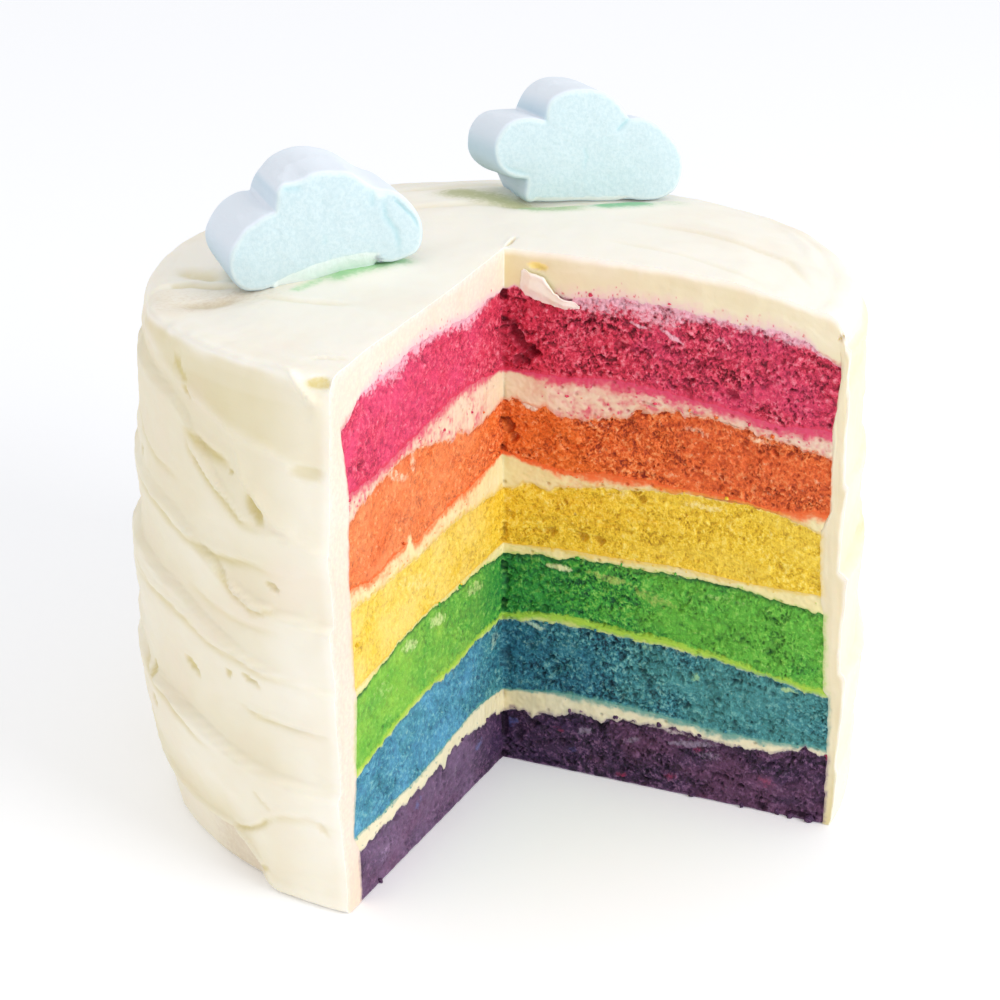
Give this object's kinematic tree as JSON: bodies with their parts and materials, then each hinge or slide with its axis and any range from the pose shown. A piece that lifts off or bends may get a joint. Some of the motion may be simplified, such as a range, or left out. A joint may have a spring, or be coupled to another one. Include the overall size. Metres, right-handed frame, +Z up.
{
  "type": "rainbow cake",
  "caption": "Round rainbow layer cake with a quarter cut out to show its coloured sponges, cream icing knifed on the side, and cloud-shaped marshmallows on top.",
  "frame": {"origin": "on the cake's upright axis, where the two cut faces would meet, at the level it stands on", "axes": "+Z up; the missing quarter is x > 0, y < 0, so the right cut face lies in y = 0 facing -Y and the left cut face in x = 0 facing +X"},
  "size_m": [0.2171, 0.2194, 0.197],
  "materials": {
    "purple_sponge": "moist open crumb, matt",
    "blue_sponge": "moist open crumb, matt",
    "green_sponge": "moist open crumb, matt",
    "yellow_sponge": "moist open crumb, matt",
    "orange_sponge": "moist open crumb, matt",
    "pink_sponge": "moist open crumb, matt",
    "filling": "soft satin buttercream",
    "icing": "soft satin buttercream with knife marks",
    "marshmallow": "powdery matt"
  },
  "bodies": {
    "root": {"sponge_purple": "purple_sponge", "sponge_blue": "blue_sponge", "sponge_green": "green_sponge", "sponge_yellow": "yellow_sponge", "sponge_orange": "orange_sponge", "sponge_pink": "pink_sponge", "filling_1": "filling", "filling_2": "filling", "filling_3": "filling", "filling_4": "filling", "filling_5": "filling", "icing_coat": "icing", "marshmallow_cloud_left": "marshmallow", "marshmallow_cloud_right": "marshmallow"}
  },
  "joints": []
}
